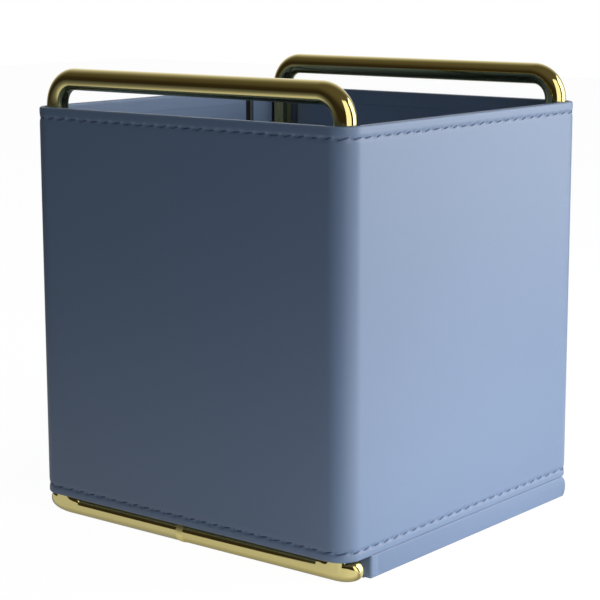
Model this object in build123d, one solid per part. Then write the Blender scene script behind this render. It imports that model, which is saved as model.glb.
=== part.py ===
"""Square pen holder cup: a leather-covered sleeve stood round two bent metal rod frames.

Millimetres, +Z up. The origin is on the desk, under the middle of the cup.
-Y is the front, +X the right. Each sub-part is written to parts/NAME.step.
"""
from build123d import *
import os

# ---- Sleeve ------------------------------------------------------------------
CUP_WIDTH = 92.0            # outside, left wall to right wall
CUP_DEPTH = 92.0            # outside, front wall to rear wall
SLEEVE_HEIGHT = 92.0        # lower edge to upper edge of the leather sleeve
CORNER_RADIUS = 5.0         # outside radius of the four upright corners
SKIN = 0.6                  # outer leather
LINING = 0.5                # inner leather
BOARD = 0.9                 # stiffener board between the two leathers
BOARD_SETBACK = 1.0         # corner's round to the end of a board
EDGE_FOLD = 0.8             # leather folded over the ends of the boards
HEM = 3.6                   # outer leather turned down inside the wall
EDGE_ROUND = 0.5            # outer leather, where it turns over the wall's edge
EDGE_BREAK = 0.3            # the same, on the inside of the wall

# ---- Closing joint of the sleeve, in the left wall ------------------------------
JOINT_FROM_REAR = 16.0      # rear face to the middle of the joint
JOINT_GAP = 3.0             # between the two ends of the lining
JOINT_EDGE_STOP = 1.5       # closed leather left above and below the gap
TAPE = 0.3                  # thickness of the tape that backs the gap
SEAM_GROOVE = 0.35          # width of the fine groove where the outer leather butts

# ---- Rod frames ----------------------------------------------------------------
ROD_DIAMETER = 5.0
BEND_RADIUS = 6.0           # at the rod's centre line
LEG_TO_SIDE = 1.6           # leg's surface to the outside face of the side wall
LEG_TO_FRONT = 2.3          # leg's surface to the outside face of the front or rear wall
HANDLE_GAP = 3.9            # open height under the handle
FOOT_GAP = 0.4              # open height between the front foot and the sleeve
FOOT_PAST_SIDE = 0.6        # front foot's rounded end past the outside face of the side wall
WELD_WIDTH = 2.0
WELD_PROUD = 0.12
WELD_BREAK = 0.1
WELD_OFFSET = -5.0          # the weld is a little left of the middle of the foot

# ---- Base panel ------------------------------------------------------------------
BASE_INSET = 0.5            # sleeve's face to the panel's side
BASE_TO_FOOT = 2.3          # open width between the front foot and the panel
BASE_LEATHER = 0.6
BASE_EDGE_SLOPE = 35.0      # degrees, round the panel's two side faces
ROD_PLAY = 0.15             # between a rod and the panel
PAD = 1.0                   # loose pad on the floor of the cup
PAD_PLAY = 0.2

# ---- Derived ---------------------------------------------------------------------
ROD_RADIUS = ROD_DIAMETER / 2
SLEEVE_LIFT = ROD_DIAMETER + FOOT_GAP
SLEEVE_TOP = SLEEVE_LIFT + SLEEVE_HEIGHT
WALL = SKIN + BOARD + LINING
THIN_WALL = SKIN + LINING
LEG_X = CUP_WIDTH / 2 - LEG_TO_SIDE - ROD_RADIUS
LEG_Y = CUP_DEPTH / 2 - LEG_TO_FRONT - ROD_RADIUS
FOOT_Z = ROD_RADIUS
HANDLE_Z = SLEEVE_TOP + HANDLE_GAP + ROD_RADIUS
FRONT_FOOT_END = CUP_WIDTH / 2 + FOOT_PAST_SIDE
BASE_SIDE = CUP_WIDTH / 2 - BASE_INSET
BASE_FRONT = ROD_RADIUS + BASE_TO_FOOT - LEG_Y
REAR_FOOT_END = BASE_SIDE - BASE_LEATHER - ROD_PLAY
BOARD_MARGIN = CORNER_RADIUS + BOARD_SETBACK
JOINT_Y = CUP_DEPTH / 2 - JOINT_FROM_REAR


def outline(depth):
    """Plan of the sleeve, moved inwards by depth."""
    return RectangleRounded(CUP_WIDTH - 2 * depth, CUP_DEPTH - 2 * depth, CORNER_RADIUS - depth)


def prism(sketch, low, high):
    return extrude(Pos(0, 0, low) * sketch, amount=high - low)


def block(x0, x1, y0, y1, z0, z1):
    """Box between two corners."""
    return Pos((x0 + x1) / 2, (y0 + y1) / 2, (z0 + z1) / 2) * Box(x1 - x0, y1 - y0, z1 - z0)


def board_plan(side, depth):
    """Plan of one stiffener board with skived ends, its outer face at depth in the wall."""
    across = CUP_DEPTH if side in ("left", "right") else CUP_WIDTH
    reach = (CUP_WIDTH if side in ("left", "right") else CUP_DEPTH) / 2 - depth
    half = across / 2 - BOARD_MARGIN
    plan = make_face(Polyline(
        (-half, reach), (half, reach), (half - BOARD, reach - BOARD), (BOARD - half, reach - BOARD),
        close=True))
    turn = {"rear": 0, "left": 90, "front": 180, "right": 270}[side]
    return Rot(0, 0, turn) * plan


def passage_plan():
    """Plan of the open inside of the sleeve, down to the face of the lining."""
    plan = outline(THIN_WALL)
    for side in SIDES:
        plan -= board_plan(side, THIN_WALL)
    return plan


SIDES = ("front", "right", "rear", "left")


def boards():
    """Stiffener boards. The left one is in two pieces, either side of the closing joint."""
    low, high = SLEEVE_LIFT + EDGE_FOLD, SLEEVE_TOP - EDGE_FOLD
    pieces = {side: prism(board_plan(side, SKIN), low, high) for side in SIDES}
    left = pieces.pop("left")
    gap = joint_gap(low, high)
    long_piece, short_piece = sorted((left - gap).solids(), key=lambda s: s.center().Y)
    pieces["left_long"] = long_piece
    pieces["left_short"] = short_piece
    return pieces


def joint_gap(low, high):
    """Space between the two ends of the lining and its boards."""
    outer = -CUP_WIDTH / 2
    return block(outer + SKIN, outer + WALL + LINING, JOINT_Y - JOINT_GAP / 2, JOINT_Y + JOINT_GAP / 2,
                 low, high)


def sleeve_skin():
    """Outer leather: the four walls, folded over both edges and turned inside."""
    body = prism(outline(0), SLEEVE_LIFT, SLEEVE_TOP)
    rims = body.edges().group_by(Axis.Z)
    body = fillet(rims[0] + rims[-1], EDGE_ROUND)
    body -= prism(passage_plan(), SLEEVE_LIFT, SLEEVE_TOP)
    inner = [e for e in body.faces().sort_by(Axis.Z)[-1].inner_wires()[0].edges()]
    inner += [e for e in body.faces().sort_by(Axis.Z)[0].inner_wires()[0].edges()]
    body = chamfer(inner, EDGE_BREAK)
    body -= prism(outline(SKIN), SLEEVE_LIFT + HEM, SLEEVE_TOP - HEM)
    for side in SIDES:
        body -= prism(board_plan(side, SKIN), SLEEVE_LIFT + EDGE_FOLD, SLEEVE_TOP - EDGE_FOLD)
    body -= joint_gap(SLEEVE_LIFT + JOINT_EDGE_STOP, SLEEVE_TOP - JOINT_EDGE_STOP)
    groove = Pos(-CUP_WIDTH / 2, JOINT_Y, 0) * Rot(0, 0, 45) * Rectangle(
        SEAM_GROOVE / 2 ** 0.5, SEAM_GROOVE / 2 ** 0.5)
    body -= prism(groove, SLEEVE_LIFT, SLEEVE_TOP)
    return body


def sleeve_lining():
    """Inner leather between the two turned hems, open at the closing joint."""
    low, high = SLEEVE_LIFT + HEM, SLEEVE_TOP - HEM
    body = prism(outline(SKIN) - passage_plan(), low, high)
    for side in SIDES:
        body -= prism(board_plan(side, SKIN), low, high)
    return body - joint_gap(low, high)


def seam_tape():
    """Dark tape behind the closing joint, on the back of the outer leather."""
    outer = -CUP_WIDTH / 2
    return block(outer + SKIN, outer + SKIN + TAPE, JOINT_Y - JOINT_GAP / 2, JOINT_Y + JOINT_GAP / 2,
                 SLEEVE_LIFT + JOINT_EDGE_STOP, SLEEVE_TOP - JOINT_EDGE_STOP)


def bow(y):
    """Handle and two legs, bent from one length of rod, standing in the plane at y."""
    rise = HANDLE_Z - FOOT_Z
    plane = Plane(origin=(0, y, FOOT_Z), x_dir=(1, 0, 0), z_dir=(0, -1, 0))
    path = plane * FilletPolyline(
        (-LEG_X, 0), (-LEG_X, rise), (LEG_X, rise), (LEG_X, 0), radius=BEND_RADIUS)
    return sweep(Plane(origin=path @ 0, z_dir=path % 0) * Circle(ROD_RADIUS), path=path)


def foot_bar(end):
    """Straight rod with domed ends, as long as from -end to end, turned about its own axis."""
    half = make_face([
        RadiusArc((-end, 0), (ROD_RADIUS - end, ROD_RADIUS), ROD_RADIUS),
        Line((ROD_RADIUS - end, ROD_RADIUS), (end - ROD_RADIUS, ROD_RADIUS)),
        RadiusArc((end - ROD_RADIUS, ROD_RADIUS), (end, 0), ROD_RADIUS),
        Line((end, 0), (-end, 0))])
    return revolve(half, Axis.X)


def rod_frame(y, foot_end):
    """One frame: a bow welded on to a straight foot, and a ring of weld round the foot."""
    weld = Rot(0, 90, 0) * Cylinder(ROD_RADIUS + WELD_PROUD, WELD_WIDTH)
    weld = chamfer(weld.edges().filter_by(GeomType.CIRCLE), WELD_BREAK)
    foot = Pos(0, y, FOOT_Z) * (foot_bar(foot_end) + Pos(WELD_OFFSET, 0, 0) * weld)
    under_ground = block(-LEG_X, LEG_X, y - ROD_DIAMETER, y + ROD_DIAMETER, -ROD_DIAMETER, 0)
    return bow(y) + foot - under_ground


def base_board():
    """Stiff board inside the base panel, between the two feet."""
    side = BASE_SIDE - BASE_LEATHER
    rear = LEG_Y - ROD_RADIUS - ROD_PLAY - BASE_LEATHER
    return block(-side, side, BASE_FRONT + BASE_LEATHER, rear, BASE_LEATHER,
                 SLEEVE_LIFT - BASE_LEATHER)


def base_cover():
    """Leather round the base board, rolled round the rear foot and left open under it.

    The roll is open upwards where the legs come down. Each end is closed by one thickness of
    leather, with its rim drawn in.
    """
    bore = ROD_RADIUS + ROD_PLAY
    roll = bore + BASE_LEATHER
    run = LEG_X - bore
    end = BASE_SIDE - BASE_LEATHER
    panel = upright(BASE_FRONT, LEG_Y, 0, SLEEVE_LIFT)
    hem = Pos(LEG_Y, FOOT_Z) * Circle(roll)
    board = upright(BASE_FRONT + BASE_LEATHER, LEG_Y - bore - BASE_LEATHER, BASE_LEATHER,
                    SLEEVE_LIFT - BASE_LEATHER)
    rod = Pos(LEG_Y, FOOT_Z) * Circle(bore)
    over_foot = panel + (hem & upright(BASE_FRONT, CUP_DEPTH, 0, FOOT_Z + roll))
    under_sleeve = panel + (hem & upright(BASE_FRONT, CUP_DEPTH, 0, SLEEVE_LIFT))
    mouth = rod + upright(LEG_Y - bore, LEG_Y + bore, FOOT_Z, SLEEVE_LIFT + ROD_DIAMETER)
    cap = extrude(Plane.YZ.offset(end) * under_sleeve, amount=BASE_LEATHER, taper=BASE_EDGE_SLOPE)
    leg_notch = extrude(Plane.YZ.offset(run) * mouth, amount=end - run)
    body = extrude(Plane.YZ * under_sleeve, amount=end, both=True) + cap + mirror(cap, Plane.YZ)
    body += extrude(Plane.YZ * over_foot, amount=run, both=True)
    body -= extrude(Plane.YZ * board, amount=end, both=True)
    body -= extrude(Plane.YZ * rod, amount=run, both=True)
    return body - leg_notch - mirror(leg_notch, Plane.YZ)


def upright(y0, y1, z0, z1):
    """Rectangle in a section that looks along X."""
    return Pos((y0 + y1) / 2, (z0 + z1) / 2) * Rectangle(y1 - y0, z1 - z0)


def base_pad():
    """Leather pad on the floor of the cup, notched round the front legs."""
    x = CUP_WIDTH / 2 - WALL - PAD_PLAY
    y = CUP_DEPTH / 2 - WALL - PAD_PLAY
    legs_y = LEG_Y - ROD_RADIUS - PAD_PLAY
    legs_x = LEG_X - ROD_RADIUS - PAD_PLAY
    low, high = SLEEVE_LIFT, SLEEVE_LIFT + PAD
    return block(-x, x, -legs_y, legs_y, low, high) + block(-legs_x, legs_x, -y, legs_y, low, high)


def model():
    parts = {
        "front_frame": rod_frame(-LEG_Y, FRONT_FOOT_END),
        "rear_frame": rod_frame(LEG_Y, REAR_FOOT_END),
        "sleeve_skin": sleeve_skin(),
        "sleeve_lining": sleeve_lining(),
        "seam_tape": seam_tape(),
        "base_board": base_board(),
        "base_cover": base_cover(),
        "base_pad": base_pad(),
    }
    for side, board in boards().items():
        parts["board_" + side] = board
    return parts


os.makedirs("parts", exist_ok=True)
for name, shape in model().items():
    export_step(shape, f"parts/{name}.step")
    print(name, len(shape.solids()), round(shape.volume, 1), shape.is_valid)
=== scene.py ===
"""Square pen holder cup: leather sleeve with stitched edges, two plated rod frames, leather base."""
import math
import random

import bmesh
import bpy
from mathutils import Matrix, Vector


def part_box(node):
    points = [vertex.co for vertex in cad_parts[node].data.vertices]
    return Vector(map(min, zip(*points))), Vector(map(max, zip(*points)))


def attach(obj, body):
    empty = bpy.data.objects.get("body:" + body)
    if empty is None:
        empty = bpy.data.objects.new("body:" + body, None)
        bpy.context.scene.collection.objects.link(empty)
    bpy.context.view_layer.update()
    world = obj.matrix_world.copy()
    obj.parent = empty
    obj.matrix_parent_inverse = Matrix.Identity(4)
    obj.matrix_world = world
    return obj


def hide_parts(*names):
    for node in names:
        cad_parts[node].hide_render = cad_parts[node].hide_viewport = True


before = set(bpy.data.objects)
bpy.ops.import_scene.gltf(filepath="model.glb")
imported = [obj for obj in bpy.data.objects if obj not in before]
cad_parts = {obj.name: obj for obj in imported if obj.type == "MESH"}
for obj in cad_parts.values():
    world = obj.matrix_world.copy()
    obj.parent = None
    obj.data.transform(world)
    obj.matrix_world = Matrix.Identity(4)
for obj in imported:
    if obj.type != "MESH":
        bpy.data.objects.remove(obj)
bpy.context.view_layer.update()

bl_info = {
    "name": "Pen Holder Cup",
    "version": (1, 0, 0),
    "blender": (4, 5, 0),
    "location": "3D View > Sidebar > Pen Cup",
    "description": "Models and finishes a leather pen holder cup on two bent rod frames",
    "category": "Add Mesh",
}

MM = 0.001
MERGE = 0.004 * MM
SLIP = 0.02 * MM  # between two layers that lie on each other
HEM_SLIP = 0.03 * MM  # between the lining's edges and the hems
CLEAR = Vector((SLIP, SLIP, SLIP))

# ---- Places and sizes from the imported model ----
SLEEVE_LOW, SLEEVE_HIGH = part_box("sleeve_skin")
LINING_LOW, LINING_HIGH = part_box("sleeve_lining")
BOARD_LOW, BOARD_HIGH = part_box("board_front")
FRONT_LOW, FRONT_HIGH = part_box("front_frame")
REAR_LOW, REAR_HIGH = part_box("rear_frame")
COVER_LOW, COVER_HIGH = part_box("base_cover")
BASE_BOARD_LOW, BASE_BOARD_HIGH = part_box("base_board")
PAD_LOW, PAD_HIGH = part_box("base_pad")
TAPE_LOW, TAPE_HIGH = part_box("seam_tape")

HALF_WIDTH = SLEEVE_HIGH.x
HALF_DEPTH = SLEEVE_HIGH.y
SLEEVE_FOOT = SLEEVE_LOW.z
SLEEVE_TOP = SLEEVE_HIGH.z
SKIN = HALF_WIDTH - LINING_HIGH.x
HEM = SLEEVE_TOP - LINING_HIGH.z
BOARD = BOARD_HIGH.y - BOARD_LOW.y
BOARD_END = BOARD_HIGH.x
GAP_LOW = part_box("board_left_long")[1].y
GAP_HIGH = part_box("board_left_short")[0].y
FRONT_Y = (FRONT_LOW.y + FRONT_HIGH.y) / 2
REAR_Y = (REAR_LOW.y + REAR_HIGH.y) / 2


# ---- Settings ----
def number(name, description, default, **unit):
    return bpy.props.FloatProperty(name=name, description=description, default=default, **unit)


def place_on_line(name, description, default):
    return number(name, description, default, subtype="DISTANCE", unit="LENGTH", precision=5)


def length(name, description, default):
    return number(name, description, default, min=0.0, subtype="DISTANCE", unit="LENGTH", precision=5)


def power(name, description, default):
    return number(name, description, default, min=0.0, unit="POWER")


def colour(name, description, default):
    return bpy.props.FloatVectorProperty(name=name, description=description, default=default,
                                         size=3, min=0.0, max=1.0, subtype="COLOR")


class PENCUP_PG_rod(bpy.types.PropertyGroup):
    radius: length("Rod radius", "Radius of the round rod", 2.5 * MM)
    bend: length("Bend radius", "Radius of each bend, at the rod's centre line", 6 * MM)
    leg_inset: length("Leg inset", "Side wall's outside to the middle of a leg", 4.1 * MM)
    weld_width: length("Weld width", "Width of the dressed weld round each foot", 2 * MM)
    weld_proud: length("Weld height", "How far the weld stands out of the rod", 0.12 * MM)
    weld_place: place_on_line("Weld place", "Weld's distance from the middle of the foot", -3.5 * MM)
    upturn: length("Upturn", "Reach over which the front foot's ends turn up", 6.6 * MM)
    swell: number("Swell", "How much higher the turned-up ends stand", 0.14, min=0.0)
    plating: colour("Plating", "Colour of the pale gold plating", (0.66, 0.57, 0.24))


class PENCUP_PG_sleeve(bpy.types.PropertyGroup):
    corner: length("Corner radius", "Outside radius of the four upright corners", 5 * MM)
    lining: length("Lining", "Thickness of the inner leather", 0.5 * MM)
    round_out: length("Outer edge", "Radius where the leather turns over the wall's edge", 0.5 * MM)
    round_in: length("Inner edge", "Radius on the inside of the wall's edge", 0.3 * MM)
    leather: colour("Leather", "Colour of the leather", (0.158, 0.244, 0.412))


class PENCUP_PG_stitch(bpy.types.PropertyGroup):
    pitch: length("Pitch", "From one needle hole to the next", 3.5 * MM)
    from_top: length("From top", "Sleeve's top edge to the upper stitch line", 2.5 * MM)
    from_foot: length("From foot", "Sleeve's lower edge to the lower stitch line", 2.1 * MM)
    thread: length("Thread", "Thickness of the thread", 0.38 * MM)
    sink: length("Pull", "How deep the stitch line is pulled into the leather", 0.16 * MM)
    hole: length("Needle hole", "How deep the leather dips at each needle hole", 0.30 * MM)
    slant: bpy.props.FloatProperty(name="Slant", description="Tilt of each stitch off the line",
                                   default=math.radians(12), subtype="ANGLE", unit="ROTATION")
    # The thread's dark tone is partly its own darker blue and partly painted shade of the needle holes.
    thread_colour: colour("Thread colour", "Colour of the thread", (0.07, 0.11, 0.22))


class PENCUP_PG_base(bpy.types.PropertyGroup):
    leather: length("Base leather", "Thickness of the leather round the base panel", 0.6 * MM)
    play: length("Rod play", "Clearance between the rear foot and the panel", 0.15 * MM)
    edge: length("Edge", "Radius of the panel's edges", 0.6 * MM)
    fold: length("Fold", "Panel's front end to the fold in the leather of its sides", 2.6 * MM)
    fold_depth: length("Fold depth", "How deep that fold is drawn in", 0.1 * MM)
    pad_play: length("Pad play", "Clearance between the loose pad and the front legs' rear side", 0.2 * MM)
    bend_room: length("Bend room", "Start of the front frame's bends to the pad's notches", 1.4 * MM)
    pad_edge: length("Pad edge", "Radius of the pad's upper edge", 0.35 * MM)


class PENCUP_PG_stage(bpy.types.PropertyGroup):
    key: power("Key light", "Power of the front right softbox", 3.95)
    side: power("Side light", "Power of the rear right softbox", 1.5)
    foot: power("Foot light", "Power of the low light beside the right wall", 0.035)
    room: number("Room light", "Strength of the soft light all round", 0.12, min=0.0)
    room_tone: colour("Room tone", "Colour of the soft light all round", (0.84, 0.95, 1.0))
    key_tone: colour("Key tone", "Colour of the key light and the foot light", (1.0, 0.965, 0.93))
    floor_side: length("Floor", "Side of the square floor", 3.0)
    floor_tone: colour("Floor tone", "Colour of the floor", (0.50, 0.50, 0.50))
    floor_white: number("Floor white", "Glow of the floor to the camera", 0.97, min=0.0)


# ---- Work in Blender ----
def object_mode():
    bpy.ops.object.mode_set(mode="OBJECT")


def rest():
    """Object mode with nothing selected."""
    if bpy.context.mode != "OBJECT":
        object_mode()
    bpy.ops.object.select_all(action="DESELECT")


def take(piece):
    """Only this piece is selected, and it is the active one."""
    rest()
    piece.select_set(True)
    bpy.context.view_layer.objects.active = piece


def work_on(piece, kind="EDGE"):
    take(piece)
    bpy.ops.object.mode_set(mode="EDIT")
    bpy.ops.mesh.select_mode(type=kind)


def linked(name, data):
    """New object in the scene."""
    made = bpy.data.objects.new(name, data)
    bpy.context.collection.objects.link(made)
    return made


def named(piece, name):
    piece.name = piece.data.name = name
    return piece


def fresh(name):
    """The primitive just added, named, with its place in its mesh."""
    bpy.ops.object.transform_apply(location=True, rotation=True, scale=True)
    return named(bpy.context.object, name)


def pick(piece, test):
    """Selects the points that pass the test, and the edges and faces between them."""
    bpy.ops.mesh.select_all(action="DESELECT")
    mesh = bmesh.from_edit_mesh(piece.data)
    for point in mesh.verts:
        if test(point.co):
            point.select = True
    for part in (*mesh.edges, *mesh.faces):
        if all(p.select for p in part.verts):
            part.select = True
    bmesh.update_edit_mesh(piece.data)


def pick_edges(piece, test):
    """Selects the edges whose two ends pass the test together."""
    bpy.ops.mesh.select_all(action="DESELECT")
    mesh = bmesh.from_edit_mesh(piece.data)
    for edge in mesh.edges:
        if test(edge.verts[0].co, edge.verts[1].co):
            edge.select = True
    bmesh.update_edit_mesh(piece.data)


def select_all():
    bpy.ops.mesh.select_all(action="SELECT")


def move(step):
    bpy.ops.transform.translate(value=step)


def scale(value, centre):
    bpy.ops.transform.resize(value=value, center_override=centre)


def extrude(step):
    bpy.ops.mesh.extrude_region_move(TRANSFORM_OT_translate={"value": step})


def slice_at(place, normal, **options):
    """Cuts the selection along a plane."""
    bpy.ops.mesh.bisect(plane_co=place, plane_no=normal, threshold=MERGE / 4, **options)


def turn_corner(centre, axis, angle, steps):
    """Spins the selected edges round a corner, counter-clockwise seen from the axis's point."""
    bpy.ops.mesh.spin(steps=steps, angle=-angle, center=centre, axis=axis)


def close_end(piece, test):
    """Closes the open ring of points that pass the test."""
    pick(piece, test)
    bpy.ops.mesh.edge_face_add()


def drop_faces():
    """Leaves the edges of the selected faces."""
    bpy.ops.mesh.delete(type="ONLY_FACE")


def face_outwards():
    select_all()
    bpy.ops.mesh.normals_make_consistent(inside=False)
    object_mode()


def merge_seams():
    select_all()
    bpy.ops.mesh.remove_doubles(threshold=MERGE)


def close_up():
    """Merges the seams and points the faces outwards."""
    merge_seams()
    face_outwards()


def circle(name, radius, place, turn, sides, fill="NOTHING"):
    """New round outline, all of it selected and ready to be extruded."""
    rest()
    bpy.ops.mesh.primitive_circle_add(vertices=sides, radius=radius, fill_type=fill,
                                      location=place, rotation=turn)
    piece = fresh(name)
    work_on(piece)
    select_all()
    return piece


def round_bar(name, radius, middle, span, turn=(0, 0, 0), sides=48):
    """Round bar with closed ends, upright unless turned."""
    rest()
    bpy.ops.mesh.primitive_cylinder_add(vertices=sides, radius=radius, depth=span,
                                        location=middle, rotation=turn)
    return fresh(name)


def solid_box(name, low, high):
    """Box between two corners, every face pointing outwards."""
    rest()
    centre = (Vector(low) + Vector(high)) / 2
    bpy.ops.mesh.primitive_cube_add(size=1, location=centre)
    box = fresh(name)
    work_on(box)
    select_all()
    scale(Vector(high) - Vector(low), centre)
    object_mode()
    return box


def smooth(piece, degrees=35):
    take(piece)
    bpy.ops.object.shade_smooth_by_angle(angle=math.radians(degrees))


def modify(piece, kind, **settings):
    """Adds a modifier, sets it and applies it."""
    take(piece)
    modifier = piece.modifiers.new(kind.title(), kind)
    for name, value in settings.items():
        setattr(modifier, name, value)
    bpy.ops.object.modifier_apply(modifier=modifier.name)


def cut(piece, tool):
    """Cuts the tool out of the piece and removes the tool."""
    modify(piece, "BOOLEAN", operation="DIFFERENCE", solver="EXACT", object=tool)
    bpy.data.objects.remove(tool)


def place(piece, slot, *nodes):
    """Puts the piece under the root and hides the imported parts it replaces."""
    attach(piece, "root")
    if nodes:
        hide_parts(*nodes)
    return piece


def coat(piece, material):
    """Gives the piece one finish."""
    piece.data.materials.clear()
    piece.data.materials.append(material)


def dressed(piece, material, slot, *nodes):
    """Gives the piece its finish, puts it under the root and hides the imported parts it replaces."""
    coat(piece, material)
    return place(piece, slot, *nodes)


# ---- Plan of the sleeve ----
def plan_runs(corner):
    """Straight runs and corners of the sleeve's outside, from the front wall's left end, anticlockwise."""
    x, y = HALF_WIDTH - corner, HALF_DEPTH - corner
    bend = corner * math.pi / 2
    return [
        ("run", 2 * x, (-x, -HALF_DEPTH), (1, 0)), ("corner", bend, (x, -y), -90),
        ("run", 2 * y, (HALF_WIDTH, -y), (0, 1)), ("corner", bend, (x, y), 0),
        ("run", 2 * x, (x, HALF_DEPTH), (-1, 0)), ("corner", bend, (-x, y), 90),
        ("run", 2 * y, (-HALF_WIDTH, y), (0, -1)), ("corner", bend, (-x, -y), 180),
    ]


def plan_point(distance, corner):
    """Place, outward direction and travel direction at a distance along the outside."""
    runs = plan_runs(corner)
    distance %= sum(r[1] for r in runs)
    for kind, span, start, way in runs:
        if distance <= span:
            break
        distance -= span
    if kind == "run":
        travel = Vector((way[0], way[1], 0))
        place = Vector((start[0], start[1], 0)) + travel * distance
        return place, Vector((travel.y, -travel.x, 0)), travel
    angle = math.radians(way) + distance / corner
    outward = Vector((math.cos(angle), math.sin(angle), 0))
    return Vector((start[0], start[1], 0)) + outward * corner, outward, Vector((-outward.y, outward.x, 0))


def plan_distance(x, y, corner):
    """Distance along the outside of the point nearest to x, y."""
    inner_x, inner_y = HALF_WIDTH - corner, HALF_DEPTH - corner
    total = 0.0
    for kind, span, start, way in plan_runs(corner):
        if kind == "run":
            if way[0]:
                on_wall = abs(x) <= inner_x and y * start[1] > 0 and abs(y) > inner_y
            else:
                on_wall = abs(y) <= inner_y and x * start[0] > 0 and abs(x) > inner_x
            if on_wall:
                return total + (x - start[0]) * way[0] + (y - start[1]) * way[1]
        elif (x - start[0]) * start[0] >= 0 and (y - start[1]) * start[1] >= 0:
            angle = math.atan2(y - start[1], x - start[0]) - math.radians(way)
            angle = (angle + math.pi) % (2 * math.pi) - math.pi
            return total + angle * corner
        total += span
    return total


def stitch_count(settings, corner):
    around = sum(r[1] for r in plan_runs(corner))
    return round(around / settings.pitch), around


# ---- Shader parts ----
def shader_group(name, inputs, *outputs):
    """New node group of plain values: its inputs with their defaults, and its outputs."""
    group = bpy.data.node_groups.new(name, "ShaderNodeTree")
    for socket, default in inputs.items():
        made = group.interface.new_socket(socket, in_out="INPUT", socket_type="NodeSocketFloat")
        made.default_value = default
    for socket in outputs:
        group.interface.new_socket(socket, in_out="OUTPUT", socket_type="NodeSocketFloat")
    return group, group.nodes.new("NodeGroupInput"), group.nodes.new("NodeGroupOutput")


def give(tree, socket, value):
    """Links an output to a socket, or puts a constant on it."""
    if isinstance(value, bpy.types.NodeSocket):
        tree.links.new(value, socket)
    else:
        socket.default_value = value


def fill(tree, node, **values):
    """Gives the node's named inputs their values, an underscore standing for a space."""
    for name, value in values.items():
        give(tree, node.inputs[name.replace("_", " ")], value)


def add(tree, kind, *values, **named):
    """New node: lower-case names set the node itself, others its inputs; values fill its first inputs."""
    node = tree.nodes.new("ShaderNode" + kind)
    for name in [n for n in named if n[0].islower()]:
        setattr(node, name, named.pop(name))
    fill(tree, node, **named)
    for socket, value in zip(node.inputs, values):
        give(tree, socket, value)
    return node


def object_place(tree):
    return add(tree, "TexCoord").outputs["Object"]


def maths(tree, operation, *values):
    return add(tree, "Math", *values, operation=operation).outputs[0]


def ramp(tree, value, stops):
    """Colour ramp over a value, from (position, colour) stops."""
    node = add(tree, "ValToRGB", Fac=value)
    while len(node.color_ramp.elements) < len(stops):
        node.color_ramp.elements.new(0.5)
    for element, (position, tone) in zip(node.color_ramp.elements, stops):
        element.position = position
        element.color = (tone, tone, tone, 1) if isinstance(tone, (int, float)) else (*tone, 1)
    return node.outputs["Color"]


GRAIN_WARP = (0.0003, 0.0003, 0.0003)


def grain_group():
    """Fine pebbled grain of coated leather: a height, a mask of its valleys where shade is painted, and a
    mask of broad patches.
    """
    group, given, result = shader_group("leather_grain", {"Cells per metre": 2600.0},
                                        "Height", "Valleys", "Patches")
    place = object_place(group)
    warp = add(group, "TexNoise", Scale=900.0, Detail=2.0, Vector=place).outputs["Color"]
    shifted = add(group, "VectorMath", warp, GRAIN_WARP, place, operation="MULTIPLY_ADD").outputs[0]
    cells = add(group, "TexVoronoi", feature="SMOOTH_F1", Smoothness=0.6, Vector=shifted,
                Scale=given.outputs["Cells per metre"]).outputs["Distance"]
    cloud = add(group, "TexNoise", Scale=45.0, Detail=3.0, Roughness=0.55, Vector=place)
    fine = add(group, "TexNoise", Scale=9000.0, Detail=1.0, Vector=place).outputs["Fac"]
    pebble = maths(group, "MULTIPLY", cells, -1.0)
    fill(group, result, Height=maths(group, "MULTIPLY_ADD", fine, 0.25, pebble),
         Valleys=ramp(group, cells, [(0.35, 0.0), (0.75, 1.0)]), Patches=cloud.outputs["Fac"])
    return group


def rub_group():
    """Hairline rubbing marks and faint haze of a plated surface."""
    group, given, result = shader_group("plating_rub", {"Marks per metre": 900.0}, "Haze", "Height")
    place = object_place(group)
    haze = add(group, "TexNoise", Scale=120.0, Detail=4.0, Roughness=0.6, Vector=place)
    marks = add(group, "TexNoise", Detail=3.0, Roughness=0.7, Vector=place,
                Scale=given.outputs["Marks per metre"])
    fill(group, result, Haze=haze.outputs["Fac"], Height=marks.outputs["Fac"])
    return group


def new_finish(name, **values):
    """Material with a Principled shader on its output, with constants on the shader's sockets."""
    material = bpy.data.materials.new(name)
    material.use_nodes = True
    tree = material.node_tree
    shader = tree.nodes["Principled BSDF"]
    fill(tree, shader, **values)
    return material, tree, shader


def between(tree, factor, first, second):
    """Colour between two, by a mask."""
    return add(tree, "Mix", data_type="RGBA", Factor=factor, A=(*first, 1), B=(*second, 1)).outputs["Result"]


def level(tree, value, low, high):
    """A 0 to 1 mask spread between two values."""
    return add(tree, "MapRange", To_Min=low, To_Max=high, Value=value).outputs["Result"]


def bump(tree, shader, height, distance, strength=1.0):
    node = add(tree, "Bump", Strength=strength, Distance=distance, Height=height)
    fill(tree, shader, Normal=node.outputs["Normal"])


def shade(tone, by):
    return tuple(min(1.0, c * by) for c in tone)


def tint(tree, shader, mask, tone, low, high):
    """Base colour that varies between two shades of a tone."""
    fill(tree, shader, Base_Color=between(tree, mask, shade(tone, low), shade(tone, high)))


# Painted shade: the grain's valleys are darkened by this share, towards this tint.
VALLEY_SHADE_SHARE, VALLEY_SHADE_TINT = 0.15, (0.8, 0.82, 0.86, 1)


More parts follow.
